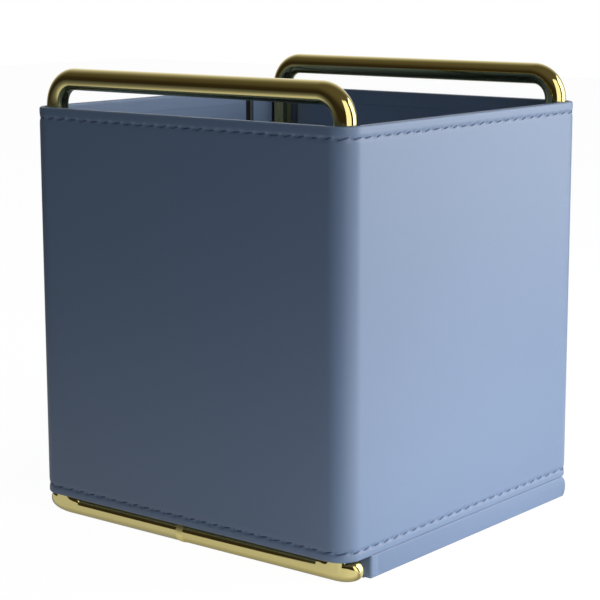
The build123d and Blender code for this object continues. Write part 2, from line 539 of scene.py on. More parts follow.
def leather_finish(name, tone, grain, roughness=0.48):
    """Smooth coated leather: even colour, a fine grain with painted shade in its valleys, and a soft sheen.
    """
    material, tree, shader = new_finish(name, Specular_IOR_Level=1.0)
    cells = add(tree, "Group", node_tree=grain, Cells_per_metre=3200.0).outputs
    patches = between(tree, cells["Patches"], shade(tone, 0.98), shade(tone, 1.02))
    # Painted shade in the grain's valleys.
    shaded_valleys = add(tree, "Mix", data_type="RGBA", blend_type="MULTIPLY", A=patches, B=VALLEY_SHADE_TINT,
                 Factor=maths(tree, "MULTIPLY", cells["Valleys"], VALLEY_SHADE_SHARE))
    fill(tree, shader, Base_Color=shaded_valleys.outputs["Result"],
         Roughness=level(tree, cells["Patches"], roughness - 0.02, roughness + 0.02))
    bump(tree, shader, cells["Height"], 0.008 * MM, 0.5)
    return material


def metal_finish(name, tone, rub, shades, roughness, relief, strength, **marks_scale):
    """Plated metal: its tone and its gloss vary with the haze, its height with the rubbing marks."""
    material, tree, shader = new_finish(name, Metallic=1.0)
    marks = add(tree, "Group", node_tree=rub, **marks_scale).outputs
    tint(tree, shader, marks["Haze"], tone, *shades)
    fill(tree, shader, Roughness=level(tree, marks["Haze"], *roughness))
    bump(tree, shader, marks["Height"], relief * MM, strength)
    return material


def textured_finish(name, tone, roughness, relief, shades, kind, **texture):
    """Dull material whose tone and height follow one fine texture."""
    material, tree, shader = new_finish(name, Roughness=roughness)
    pattern = add(tree, kind, Vector=object_place(tree), **texture).outputs["Fac"]
    tint(tree, shader, pattern, tone, *shades)
    bump(tree, shader, pattern, relief * MM)
    return material


FINISHES = {}


def finishes(scene):
    """All finishes, made once."""
    if not FINISHES:
        grain, rub = grain_group(), rub_group()
        leather, plating = tuple(scene.pencup_sleeve.leather), tuple(scene.pencup_rod.plating)
        FINISHES.update(
            leather=leather_finish("blue_leather", leather, grain),
            lining=leather_finish("blue_lining", shade(leather, 0.97), grain, roughness=0.5),
            plating=metal_finish("plated_rod", plating, rub, (0.97, 1.03), (0.06, 0.13), 0.004, 0.4),
            weld=metal_finish("weld_metal", plating, rub, (1.25, 1.5), (0.45, 0.58), 0.02, 0.5,
                              Marks_per_metre=2600.0),
            # Dark thread: partly painted shade of the needle holes.
            thread=textured_finish("dark_thread", tuple(scene.pencup_stitch.thread_colour), 0.6, 0.03,
                                   (0.7, 1.3), "TexNoise", Scale=5000.0, Detail=2.0),
            board=textured_finish("grey_board", (0.42, 0.39, 0.35), 0.9, 0.04,
                                  (0.8, 1.2), "TexNoise", Scale=1800.0, Detail=5.0, Roughness=0.7),
            tape=textured_finish("woven_tape", (0.002, 0.007, 0.016), 0.85, 0.03,
                                 (0.7, 1.2), "TexChecker", Scale=1400.0),
        )
    return FINISHES


# ---- Rod frames ----
ROD_SIDES = 64
BEND_STEPS = 20
DOME_STEPS = 16
BEAD_STEPS = 8
BEAD_FULLNESS = 0.6
PRESS_POWER = 3.2  # squareness of the pressed ends: 2 is round
PRESS_STEP = 0.2 * MM
FILL_SINK = 0.02 * MM  # keeps the bend's surface just inside the leg's and the foot's
FOOT_TOP = 2.2  # in rod radii, above the foot and under the sleeve
HALF_SIDE_TURN = (0, 0, math.pi / ROD_SIDES)
FACING_X = (0, math.pi / 2, 0)


def leg_x(settings):
    """Distance of a leg's axis from the middle of the cup."""
    return HALF_WIDTH - settings.leg_inset


def bend_bow(name, y, top, settings):
    """Handle and two legs in one length of rod, from the left foot's axis to the right one's."""
    radius, bend, half = settings.radius, settings.bend, leg_x(settings)
    low, high = radius, top - radius
    bow = circle(name, radius, (-half, y, low), HALF_SIDE_TURN, ROD_SIDES)
    extrude((0, 0, high - low - bend))
    turn_corner((bend - half, y, high - bend), (0, 1, 0), math.pi / 2, BEND_STEPS)
    extrude((2 * (half - bend), 0, 0))
    turn_corner((half - bend, y, high - bend), (0, 1, 0), math.pi / 2, BEND_STEPS)
    extrude((0, 0, low + bend - high))
    for side in (-1, 1):
        close_end(bow, lambda p: side * p.x > half - bend and p.z < low + MERGE)
    close_up()
    return bow


def round_end(start, y, radius, way, upturn):
    """Closes the selected ring in a dome, its underside drawn up over the reach of the upturn."""
    along, half, middle = 0.0, radius, radius
    for n in range(1, DOME_STEPS):
        angle = math.pi / 2 * n / DOME_STEPS
        out = upturn * math.sin(angle)
        extrude((way * (out - along), 0, 0))
        low = math.cos(angle)
        high = math.sqrt(1 - max(0.0, (out - upturn + radius) / radius) ** 2)
        share = radius * (low + high) / 2 / half
        scale((1, share, share), (way * (start + out), y, middle))
        risen = radius * (1 + (high - low) / 2)
        move((0, 0, risen - middle))
        along, half, middle = out, half * share, risen
    extrude((way * (upturn - along), 0, 0))
    bpy.ops.mesh.merge(type="CENTER")


def press_ends(foot, y, start, settings):
    """Squares the upper half of the foot's ends and raises it to just under the sleeve."""
    object_mode()
    radius = settings.radius
    for point in foot.data.vertices:
        across, up = point.co.y - y, point.co.z - radius
        if abs(point.co.x) > start and up > MERGE:
            size = math.hypot(across, up)
            square = (abs(across / size) ** PRESS_POWER + (up / size) ** PRESS_POWER) ** (-1 / PRESS_POWER)
            point.co.y = y + across * square
            point.co.z = radius + up * square * (1 + settings.swell)
    bpy.ops.object.mode_set(mode="EDIT")


def turn_into_foot(y, way, settings):
    """Bend that fills the corner between a leg and the foot."""
    bend, leg = settings.bend, leg_x(settings)
    height = settings.radius + bend
    corner = circle("corner", settings.radius - FILL_SINK, (way * leg, y, height), HALF_SIDE_TURN, ROD_SIDES)
    turn_corner((way * (leg - bend), y, height), (0, way, 0), math.pi / 2, BEND_STEPS)
    close_end(corner, lambda p: p.z > height - MERGE)
    close_end(corner, lambda p: way * p.x < leg - bend + MERGE)
    close_up()
    return corner


def straight_foot(y, end, upturn, settings):
    """Straight foot with domed ends and a ring of weld round it, resting on the floor."""
    radius, width = settings.radius, settings.weld_width
    start = along = settings.weld_place - width / 2
    foot = circle("foot", radius, (along, y, radius), FACING_X, ROD_SIDES)
    size = radius
    for n in range(1, BEAD_STEPS + 1):
        extrude((width / BEAD_STEPS, 0, 0))
        along += width / BEAD_STEPS
        bead = radius + settings.weld_proud * math.sin(math.pi * n / BEAD_STEPS) ** BEAD_FULLNESS
        scale((1, bead / size, bead / size), (along, y, radius))
        size = bead
    pressed = leg_x(settings) - settings.bend
    for way, begin in ((1, along), (-1, start)):
        pick(foot, lambda p: abs(p.x - begin) < MERGE)
        for out in (pressed, pressed + PRESS_STEP, end - upturn):
            extrude((way * out - begin, 0, 0))
            begin = way * out
        round_end(end - upturn, y, radius, way, upturn)
    if upturn > radius:
        press_ends(foot, y, pressed + PRESS_STEP / 2, settings)
    pick(foot, lambda p: p.z < 0)
    scale((1, 1, 0), (0, 0, 0))
    close_up()
    return foot


def join_rod(rod, part):
    modify(rod, "BOOLEAN", operation="UNION", solver="EXACT", object=part)
    bpy.data.objects.remove(part)


def finish_weld(rod, weld, settings):
    """Gives the ring of weld the brushed finish."""
    rod.data.materials.append(weld)
    middle, reach = settings.weld_place, settings.weld_width / 2 + MERGE
    for face in rod.data.polygons:
        if abs(face.center.x - middle) < reach and face.center.z < FOOT_TOP * settings.radius:
            face.material_index = 1


def rod_frame(name, y, top, foot_end, turned_up, scene):
    """One welded frame. Where its ends turn up, the legs run into the foot in a bend."""
    settings, made = scene.pencup_rod, finishes(scene)
    rod = bend_bow(name, y, top, settings)
    join_rod(rod, straight_foot(y, foot_end, settings.upturn if turned_up else settings.radius, settings))
    if turned_up:
        for way in (-1, 1):
            join_rod(rod, turn_into_foot(y, way, settings))
    smooth(rod, 50)
    rod.data.materials.append(made["plating"])
    finish_weld(rod, made["weld"], settings)
    return rod


class PENCUP_OT_rod_frames(bpy.types.Operator):
    """Bend the two plated bows and weld each on to its straight foot"""
    bl_idname = "pencup.rod_frames"
    bl_label = "Rod Frames"

    def execute(self, context):
        for name, y, box, turned_up, node in (
                ("front_rod_frame", FRONT_Y, FRONT_HIGH, True, "front_frame"),
                ("rear_rod_frame", REAR_Y, REAR_HIGH, False, "rear_frame")):
            place(rod_frame(name, y, box.z, box.x, turned_up, context.scene), "plated_rod", node)
        return {"FINISHED"}


# ---- Sleeve ----
CORNER_STEPS = 18
OUTER_STEPS, INNER_STEPS = 6, 4  # in the roundings of the leather's edges
WALL_CUTS = 87  # in each half of a wall
LINING_ROWS = 12
THICK_WALL = 3 * MM  # more than the thickness of a wall
LONG_RUN = 8 * MM  # more than any edge but a wall's straight run


def sweep_round(corner):
    """Takes the selected profile, at the left end of the front wall, right round the sleeve."""
    setback = HALF_WIDTH - corner - BOARD_END
    for kind, span, start, way in plan_runs(corner):
        if kind == "corner":
            turn_corner((start[0], start[1], 0), (0, 0, 1), math.pi / 2, CORNER_STEPS)
            continue
        travel = Vector((way[0], way[1], 0))
        for part in (setback, BOARD, span - 2 * (setback + BOARD), BOARD, setback):
            extrude(travel * part)


def thicken_walls(piece, least):
    """Moves the inner face of each wall, between the boards' ends, in over the board."""
    reach_x = BOARD_END - BOARD + MERGE
    reach_y = reach_x + HALF_DEPTH - HALF_WIDTH
    for side in (1, -1):
        pick(piece, lambda p: abs(p.x) < reach_x and least < HALF_DEPTH - side * p.y < THICK_WALL)
        move((0, -side * BOARD, 0))
        pick(piece, lambda p: abs(p.y) < reach_y and least < HALF_WIDTH - side * p.x < THICK_WALL)
        move((-side * BOARD, 0, 0))


def raise_walls(piece, corner, least):
    """Sweeps the piece's section round the sleeve and makes room for the boards."""
    select_all()
    sweep_round(corner)
    close_up()
    work_on(piece)
    thicken_walls(piece, least)


def divide_walls(piece):
    """Divides the long straight runs evenly, for the leather to take its shape between stitches."""
    def level_run(a, b):
        return abs(a.z - b.z) < MERGE and (a - b).length > LONG_RUN
    for cuts in (1, WALL_CUTS):
        pick_edges(piece, level_run)
        bpy.ops.mesh.subdivide(number_cuts=cuts)


def wall_plane(name, corner, depth, thickness, low, high):
    """Upright strip at the left end of the front wall, ready to be drawn into a section."""
    rest()
    place = (corner - HALF_WIDTH, depth + thickness / 2 - HALF_DEPTH, (low + high) / 2)
    bpy.ops.mesh.primitive_plane_add(size=1, location=place, rotation=FACING_X)
    piece = fresh(name)
    work_on(piece)
    select_all()
    scale((1, thickness, high - low), place)
    return piece


def leather_section(settings):
    """Section of the outer leather: upright sheet, turned over both edges and hemmed inside."""
    corner, lining = settings.corner, settings.lining
    fold = SLEEVE_TOP - BOARD_HIGH.z
    piece = wall_plane("outer_leather", corner, 0, SKIN, SLEEVE_FOOT + fold, SLEEVE_TOP - fold)
    outside = -HALF_DEPTH
    hem_start = outside + SKIN + SLIP
    inside = outside + SKIN + lining
    for way, end in ((1, SLEEVE_TOP), (-1, SLEEVE_FOOT)):
        pick(piece, lambda p: abs(p.z - (end - way * fold)) < MERGE)
        extrude((0, 0, way * fold))
        pick(piece, lambda p: p.y > outside + SKIN / 2 and way * (p.z - end) > -fold - MERGE)
        extrude((0, hem_start - outside - SKIN, 0))
        extrude((0, inside - hem_start, 0))
        pick(piece, lambda p: p.y > hem_start - MERGE and abs(p.z - (end - way * fold)) < MERGE)
        extrude((0, 0, -way * (HEM - fold)))
    select_all()
    bpy.ops.mesh.dissolve_faces()
    for radius, segments, u in ((settings.round_out, OUTER_STEPS, outside),
                                (settings.round_in, INNER_STEPS, inside)):
        pick(piece, lambda p: abs(p.y - u) < MERGE
             and (abs(p.z - SLEEVE_TOP) < MERGE or abs(p.z - SLEEVE_FOOT) < MERGE))
        bpy.ops.mesh.bevel(offset=radius, segments=segments, affect="VERTICES")
    select_all()
    drop_faces()
    return piece


STITCH_ROWS = (-1.2, -0.9, -0.65, -0.45, -0.3, -0.15, 0.0, 0.15, 0.3, 0.45, 0.65, 0.9, 1.2, 1.6, 2.2, 3.2,
               5.0, 9.0)      # from a stitch line towards the middle of the wall
PLAIN_ROWS = 9
LEAST_WEIGHT = 0.002
GROOVE_WIDTH = 0.55 * MM
HOLE_HEIGHT, HOLE_WIDTH, HOLE_REACH = 0.38 * MM, 0.42 * MM, 1.5 * MM


def stitch_lines(stitch):
    return SLEEVE_FOOT + stitch.from_foot, SLEEVE_TOP - stitch.from_top


def leather_rows(stitch):
    """Heights of the rows of points up the leather: close at the stitch lines, wide between them."""
    lower, upper = stitch_lines(stitch)
    rows = [lower + r * MM for r in STITCH_ROWS] + [upper - r * MM for r in STITCH_ROWS]
    low, high = lower + STITCH_ROWS[-1] * MM, upper - STITCH_ROWS[-1] * MM
    return rows + [low + (high - low) * n / PLAIN_ROWS for n in range(1, PLAIN_ROWS)]


def cut_rows(piece, heights, test=lambda p: True):
    for height in heights:
        pick(piece, test)
        slice_at((0, 0, height), (0, 0, 1))


def weigh(piece, name, share):
    """Vertex group whose weight at each point is share(point), from 0 to 1."""
    group = piece.vertex_groups.new(name=name)
    for point in piece.data.vertices:
        weight = share(point.co)
        if weight > LEAST_WEIGHT:
            group.add([point.index], min(1.0, weight), "REPLACE")
    return group.name


def bell(distance, width):
    return math.exp(-(distance / width) ** 2)


def outward_gap(p, corner):
    """Depth of a point in from the outside face of the sleeve."""
    inner_x, inner_y = HALF_WIDTH - corner, HALF_DEPTH - corner
    over_x, over_y = abs(p.x) - inner_x, abs(p.y) - inner_y
    if over_x > 0 and over_y > 0:
        return corner - math.hypot(over_x, over_y)
    return corner - max(over_x, over_y)


def pull_stitch_lines(piece, sleeve, stitch):
    """Draws the leather in along both stitch lines, deeper at each needle hole."""
    corner = sleeve.corner
    count, around = stitch_count(stitch, corner)
    pitch = around / count
    lines = stitch_lines(stitch)

    def off_line(p):
        return min(abs(p.z - line) for line in lines)

    def off_hole(p):
        along = plan_distance(p.x, p.y, corner) / pitch
        return abs(along - round(along)) * pitch

    def on_face(p):
        return outward_gap(p, corner) < SKIN / 3

    groove = weigh(piece, "stitch_line", lambda p: bell(off_line(p), GROOVE_WIDTH) if on_face(p) else 0)
    holes = weigh(piece, "needle_holes",
                  lambda p: bell(off_line(p), HOLE_HEIGHT) * bell(off_hole(p), HOLE_WIDTH)
                  if on_face(p) and off_line(p) < HOLE_REACH else 0)
    for group, depth in ((groove, stitch.sink), (holes, stitch.hole)):
        modify(piece, "DISPLACE", strength=-depth, mid_level=0, vertex_group=group)


def cut_joint_gap(piece, low, high):
    """Opens the inner layers at the closing joint in the left wall."""
    near = SKIN - HALF_WIDTH
    cut(piece, solid_box("joint_tool", (near, GAP_LOW, low), (near + THICK_WALL, GAP_HIGH, high)))


class PENCUP_OT_outer_leather(bpy.types.Operator):
    """Wrap the outer leather round the four walls, turned over both edges and hemmed inside"""
    bl_idname = "pencup.outer_leather"
    bl_label = "Outer Leather"

    def execute(self, context):
        sleeve, stitch = context.scene.pencup_sleeve, context.scene.pencup_stitch
        piece = leather_section(sleeve)
        cut_rows(piece, leather_rows(stitch), lambda p: p.y < MERGE - HALF_DEPTH)
        raise_walls(piece, sleeve.corner, SKIN + MERGE)
        divide_walls(piece)
        face_outwards()
        pull_stitch_lines(piece, sleeve, stitch)
        cut_joint_gap(piece, TAPE_LOW.z, TAPE_HIGH.z)
        smooth(piece, 40)
        dressed(piece, finishes(context.scene)["leather"], "blue_leather", "sleeve_skin")
        return {"FINISHED"}


class PENCUP_OT_inner_leather(bpy.types.Operator):
    """Line the walls with the inner leather, between the two hems"""
    bl_idname = "pencup.inner_leather"
    bl_label = "Inner Leather"

    def execute(self, context):
        sleeve = context.scene.pencup_sleeve
        low, high = LINING_LOW.z, LINING_HIGH.z
        piece = wall_plane("inner_leather", sleeve.corner, SKIN + SLIP, sleeve.lining - SLIP,
                           low + HEM_SLIP, high - HEM_SLIP)
        drop_faces()
        cut_rows(piece, [low + (high - low) * n / LINING_ROWS for n in range(1, LINING_ROWS)])
        raise_walls(piece, sleeve.corner, SKIN)
        object_mode()
        cut_joint_gap(piece, low - MM, high + MM)
        smooth(piece, 40)
        dressed(piece, finishes(context.scene)["lining"], "blue_lining", "sleeve_lining")
        return {"FINISHED"}


# ---- Stitching ----
THREAD_SIDES = 6
STITCH_SHARE = 0.78  # of the pitch, from end to end
STITCH_STATIONS = (-1.0, -0.72, -0.35, 0.0, 0.35, 0.72, 1.0)
END_TAPER, FLATTENING, END_DROP = 0.45, 0.8, 0.42 * MM
THREAD_LIFT = 0.08  # of the thread's thickness, out of the groove
SLANT_SPREAD, DRIFT = 0.12, 0.08  # radians, and mm up or down
SHORTEST, LONGEST = 0.8, 1.08  # length against the pattern's


def one_stitch(stitch):
    """One stitch along X, its two ends bent down into the needle holes, at the origin."""
    half = stitch.pitch * STITCH_SHARE / 2
    piece = circle("stitch", stitch.thread / 2, (-half, 0, 0), FACING_X, THREAD_SIDES, "NGON")
    for before, after in zip(STITCH_STATIONS, STITCH_STATIONS[1:]):
        extrude(((after - before) * half, 0, 0))
    object_mode()
    for point in piece.data.vertices:
        share = abs(point.co.x) / half
        taper = 1 - END_TAPER * share ** 4
        point.co.y *= taper
        point.co.z = point.co.z * FLATTENING * taper - END_DROP * share ** 4
    work_on(piece)
    close_up()
    smooth(piece, 60)
    return piece


def sew(name, height, scene, seed):
    """A row of stitches round the outside of the sleeve at a height."""
    sleeve, stitch = scene.pencup_sleeve, scene.pencup_stitch
    count, around = stitch_count(stitch, sleeve.corner)
    pattern = one_stitch(stitch)
    chance = random.Random(seed)
    copies = []
    for n in range(count):
        place, outward, travel = plan_point((n + 0.5) * around / count, sleeve.corner)
        copy = linked(f"{name}_{n}", pattern.data.copy())
        slant = stitch.slant + chance.uniform(-SLANT_SPREAD, SLANT_SPREAD)
        stretch = chance.uniform(SHORTEST, LONGEST)
        drift = Vector((0, 0, chance.uniform(-DRIFT, DRIFT) * MM))
        along = travel * math.cos(slant) + Vector((0, 0, math.sin(slant)))
        across = outward.cross(along)
        for point in copy.data.vertices:
            p = point.co
            point.co = (place + Vector((0, 0, height)) + drift + along * p.x * stretch + across * p.y
                        + outward * (p.z - stitch.sink + stitch.thread * THREAD_LIFT))
        copies.append(copy)
    bpy.data.objects.remove(pattern)
    take(copies[0])
    for copy in copies:
        copy.select_set(True)
    bpy.ops.object.join()
    return named(bpy.context.object, name)


class PENCUP_OT_stitching(bpy.types.Operator):
    """Sew the two rows of stitches round the sleeve's edges"""
    bl_idname = "pencup.stitching"
    bl_label = "Stitching"

    def execute(self, context):
        scene = context.scene
        thread = finishes(scene)["thread"]
        lower, upper = stitch_lines(scene.pencup_stitch)
        for name, height, seed in (("top_stitch_row", upper, 5), ("bottom_stitch_row", lower, 9)):
            dressed(sew(name, height, scene, seed), thread, "blue_leather")
        return {"FINISHED"}


# ---- Base ----
ROLL_SIDES = 96
EDGE_STEPS, PAD_EDGE_STEPS = 5, 3
SHOULDER = 0.1 * MM
FOLD_HALF_WIDTH = 0.3 * MM
LEG_HOLE_RISE, LEG_HOLE_EASE = 2 * MM, 0.05 * MM


def round_edges(piece, size, steps, test):
    """Rounds the edges whose two ends pass the test together."""
    work_on(piece)
    pick_edges(piece, test)
    bpy.ops.mesh.bevel(offset=size, segments=steps, affect="EDGES")
    object_mode()


def base_cover(scene):
    """Leather wrapped round the base board and rolled round the rear foot, open underneath."""
    rod, base = scene.pencup_rod, scene.pencup_base
    side = COVER_HIGH.x
    bore = rod.radius + base.play
    roll = bore + base.leather
    leg = leg_x(rod)
    cover = circle("base_leather", roll, (-side, REAR_Y, rod.radius), FACING_X, ROLL_SIDES, "NGON")
    for place, normal, drop in (((0, 0, 0), (0, 0, -1), True), ((0, 0, SLEEVE_FOOT), (0, 0, 1), False)):
        select_all()
        slice_at(place, normal, clear_outer=drop)
    select_all()
    drop_faces()
    pick_edges(cover, lambda a, b: abs(a.z - SLEEVE_FOOT) + abs(b.z - SLEEVE_FOOT) < MERGE)
    bpy.ops.mesh.delete(type="EDGE")
    pick(cover, lambda p: p.y < REAR_Y and MERGE < p.z < SLEEVE_FOOT - MERGE)
    bpy.ops.mesh.delete(type="VERT")
    for height in (0, SLEEVE_FOOT):
        pick(cover, lambda p: p.y < REAR_Y and abs(p.z - height) < MERGE)
        extrude((0, COVER_LOW.y + base.edge - REAR_Y, 0))
        scale((1, 0, 1), (0, COVER_LOW.y, 0))
    close_end(cover, lambda p: p.y < COVER_LOW.y + MERGE)
    bpy.ops.mesh.bevel(offset=base.edge, segments=EDGE_STEPS, affect="VERTICES")
    select_all()
    shoulder = leg - bore
    for step in (side - shoulder, SHOULDER, 2 * shoulder - 2 * SHOULDER, SHOULDER, side - shoulder):
        extrude((step, 0, 0))
    pick(cover, lambda p: abs(p.x) > shoulder - MERGE and p.z > SLEEVE_FOOT + MERGE)
    scale((1, 1, 0), (0, 0, SLEEVE_FOOT))
    for way in (-1, 1):
        close_end(cover, lambda p: way * p.x > side - MERGE)
    close_up()
    round_edges(cover, base.edge, EDGE_STEPS,
                lambda a, b: abs(abs(a.x) - side) + abs(abs(b.x) - side) < MERGE)
    draw_fold(cover, base)
    cut(cover, round_bar("rod_bore", bore, (0, REAR_Y, rod.radius), 2 * (REAR_HIGH.x + base.play),
                         (math.pi / 2, 0, math.pi / 2), ROLL_SIDES))
    low, high = rod.radius, SLEEVE_FOOT + LEG_HOLE_RISE
    for way in (-1, 1):
        cut(cover, round_bar("leg_hole", bore + LEG_HOLE_EASE,
                             (way * leg, REAR_Y, (low + high) / 2), high - low))
    cut(cover, solid_box("board_room", BASE_BOARD_LOW - CLEAR, BASE_BOARD_HIGH + CLEAR))
    work_on(cover)
    merge_seams()
    object_mode()
    smooth(cover, 40)
    return cover


def draw_fold(cover, base):
    """Draws the leather in along the fold near the front end of the panel's two sides."""
    work_on(cover)
    for place in (-FOLD_HALF_WIDTH, 0, FOLD_HALF_WIDTH):
        select_all()
        slice_at((0, COVER_LOW.y + base.fold + place, 0), (0, 1, 0))
    for way in (-1, 1):
        pick(cover, lambda p: abs(p.y - COVER_LOW.y - base.fold) < MERGE and way * p.x > COVER_HIGH.x - MERGE)
        move((-way * base.fold_depth, 0, 0))
    object_mode()


def floor_pad(scene):
    """Leather pad on the floor of the cup, its corners notched round the legs."""
    base, rod = scene.pencup_base, scene.pencup_rod
    notch_x = leg_x(rod) - rod.bend + base.bend_room
    notch_y = FRONT_Y + rod.radius + base.pad_play
    pad = solid_box("floor_pad", PAD_LOW, PAD_HIGH)
    for way in (-1, 1):
        near, far = sorted((way * notch_x, way * HALF_WIDTH))
        cut(pad, solid_box("notch", (near, -HALF_DEPTH, PAD_LOW.z - MM), (far, notch_y, PAD_HIGH.z + MM)))
    round_edges(pad, base.pad_edge, PAD_EDGE_STEPS, lambda a, b: min(a.z, b.z) > PAD_HIGH.z - MERGE)
    smooth(pad, 50)
    return pad


class PENCUP_OT_base(bpy.types.Operator):
    """Cover the base panel with leather, rolled round the rear foot, and lay the pad on it"""
    bl_idname = "pencup.base"
    bl_label = "Base"

    def execute(self, context):
        made = finishes(context.scene)
        dressed(base_cover(context.scene), made["leather"], "blue_leather", "base_cover")
        dressed(floor_pad(context.scene), made["lining"], "blue_lining", "base_pad")
        return {"FINISHED"}


class PENCUP_OT_inner_parts(bpy.types.Operator):
    """Finish the stiffener boards and the tape behind the closing joint"""
    bl_idname = "pencup.inner_parts"
    bl_label = "Boards and Tape"

    def execute(self, context):
        made = finishes(context.scene)
        for name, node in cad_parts.items():
            if name.startswith("board_") or name == "base_board":
                coat(node, made["board"])
            elif name == "seam_tape":
                coat(node, made["tape"])
        return {"FINISHED"}


# ---- Stage ----
SHADE_INSET = 2 * MM  # from the base's side to the floor painted dark under it
CAMERA_SHADE = 0.09
TABLE_GLOW, TABLE_SHADE = 0.50, 0.90
CAMERA_ANGLES = (38.785, 10.395, -0.124)  # degrees: turn to the right, lift, roll
CAMERA_REACH = 0.43793
CAMERA_TARGET = Vector((1.24 * MM, -5.417 * MM, SLEEVE_FOOT + 46 * MM))
SENSOR, CAMERA_ZOOM = 36, 37 / 12  # film width in mm, and focal length in film widths
# Softboxes: degrees round the cup, distance, heights of the lower and upper edge, width
KEY_PLACE = (76, 0.84, 0.01, 1.1, 0.70)
SIDE_PLACE = (137, 0.42, 0.003, 0.45, 0.32)
FOOT_PLACE = (90, 0.11, 0.001, 0.035, 0.16)


def around(azimuth, distance, height):
    """Place round the cup: 0 degrees is in front of it, 90 on its right."""
    turn = math.radians(azimuth)
    return Vector((distance * math.sin(turn), -distance * math.cos(turn), height))


def soft_light(name, azimuth, distance, low, high, width, watts, tone=(1, 1, 1)):
    """Softbox between two heights, facing the cup."""
    foot, head = around(azimuth, distance, low), around(azimuth, distance, high)
    lamp = bpy.data.lights.new(name, "AREA")
    lamp.shape = "RECTANGLE"
    lamp.size, lamp.size_y = width, (head - foot).length
    lamp.energy = watts
    lamp.color = tone
    light = linked(name, lamp)
    up = (head - foot).normalized()
    across = Vector((-foot.y, foot.x, 0)).normalized()
    light.matrix_world = facing(across, up, (foot + head) / 2)
    return light


def facing(right, up, place):
    """Matrix of a light or camera from its right and up directions and its place."""
    turned = Matrix((right, up, right.cross(up))).transposed().to_4x4()
    turned.translation = place
    return turned


def ray_kinds(tree):
    """Masks of the rays that see white, and of those that a shiny surface sends out."""
    rays = add(tree, "LightPath").outputs
    return maths(tree, "MAXIMUM", rays["Is Camera Ray"], rays["Is Transmission Ray"]), rays["Is Glossy Ray"]


def mixed(tree, factor, first, second):
    return add(tree, "MixShader", factor, first, second).outputs[0]


def backdrop(tree, tone, strength):
    return add(tree, "Background", Color=tone, Strength=strength).outputs[0]


CARD_PLACE = around(219, 1, 0.176)
CARD_TONES = [(0.30, 0.0), (0.42, 0.03), (0.55, 0.12), (0.70, 0.30), (0.86, 0.62), (0.97, 1.0)]
ROOM_TONES = [(0.0, (0.035, 0.026, 0.014)), (0.30, (0.04, 0.03, 0.018)), (0.50, (0.08, 0.068, 0.045)),
              (0.75, (0.13, 0.112, 0.075))]


def studio_world(settings):
    """White backdrop to the camera; a dim room with a white card behind the cup to the plating."""
    world = bpy.data.worlds.new("studio")
    bpy.context.scene.world = world
    world.use_nodes = True
    tree = world.node_tree
    tree.nodes.clear()
    seen, glossy = ray_kinds(tree)
    ray = add(tree, "TexCoord").outputs["Generated"]
    card = add(tree, "VectorMath", ray, CARD_PLACE.normalized(), operation="DOT_PRODUCT")
    height = add(tree, "SeparateXYZ", ray).outputs["Z"]
    shiny = add(tree, "Mix", data_type="RGBA", blend_type="ADD", Factor=1,
                A=ramp(tree, card.outputs["Value"], CARD_TONES), B=ramp(tree, height, ROOM_TONES))
    room = backdrop(tree, (*settings.room_tone, 1), settings.room)
    lit = mixed(tree, glossy, room, backdrop(tree, shiny.outputs["Result"], 1))
    white = backdrop(tree, (1, 1, 1, 1), 1)
    add(tree, "OutputWorld", Surface=mixed(tree, seen, lit, white))


# Painted light on the floor, seen only by the plating: by distance from the cup's middle, painted contact
# shadow by distance from the front foot's line, a painted streak by distance from the streak's line, and
# painted light to the right of the cup.
TABLE_TONES = [(0.13, 1.0), (0.16, 0.98), (0.206, 0.56), (0.29, 0.27), (0.48, 0.18), (0.95, 0.09)]
CONTACT_SHADOW_TONES = [(0.0, 0.30), (0.0014, 0.42), (0.0024, 1.0)]
STREAK_TONES = [(0.0, 1.0), (0.035, 1.0), (0.075, 0.0)]
RIGHT_TONES = [(0.15, 0.0), (0.45, 0.26), (0.75, 0.10)]
STREAK_WAY, STREAK_SHIFT = 141, 0.035  # degrees round the cup, and how far it passes from the middle


def apart(tree, value, line):
    return maths(tree, "ABSOLUTE", maths(tree, "SUBTRACT", value, line))


def reach_along(tree, place, azimuth):
    """How far a place lies out along a direction round the cup."""
    return add(tree, "VectorMath", place, around(azimuth, 1, 0), operation="DOT_PRODUCT").outputs["Value"]


def table_tone(tree):
    """Painted light on the floor, seen only by the plating: round the cup, and where the side light falls,
    darkened by a painted contact shadow along the front foot.
    """
    place = object_place(tree)
    parts = add(tree, "SeparateXYZ", place).outputs
    distance = add(tree, "VectorMath", place, operation="LENGTH").outputs["Value"]
    off = apart(tree, reach_along(tree, place, STREAK_WAY - 90), STREAK_SHIFT)
    behind = maths(tree, "GREATER_THAN", reach_along(tree, place, STREAK_WAY), 0.0)
    streak = maths(tree, "MULTIPLY", ramp(tree, off, STREAK_TONES), behind)
    lit = maths(tree, "MAXIMUM", ramp(tree, distance, TABLE_TONES), streak)
    lit = maths(tree, "MAXIMUM", lit, ramp(tree, parts["X"], RIGHT_TONES))
    # Painted contact shadow along the front foot's line.
    contact_shadow = ramp(tree, apart(tree, parts["Y"], FRONT_Y), CONTACT_SHADOW_TONES)
    return maths(tree, "MULTIPLY", lit, contact_shadow)


def outside_cup(tree):
    """Mask of the floor beside the cup: 0 from the base's front to the sleeve's rear face, 1 elsewhere. Where
    it is 0 the floor is painted dark to the camera: painted shade under the cup.
    """
    parts = add(tree, "SeparateXYZ", object_place(tree)).outputs
    middle, reach = (HALF_DEPTH + COVER_LOW.y) / 2, (HALF_DEPTH - COVER_LOW.y) / 2
    side = maths(tree, "ABSOLUTE", parts["X"])
    beside = maths(tree, "GREATER_THAN", side, COVER_HIGH.x - SHADE_INSET)
    beyond = maths(tree, "GREATER_THAN", apart(tree, parts["Y"], middle), reach)
    return maths(tree, "MAXIMUM", beside, beyond)


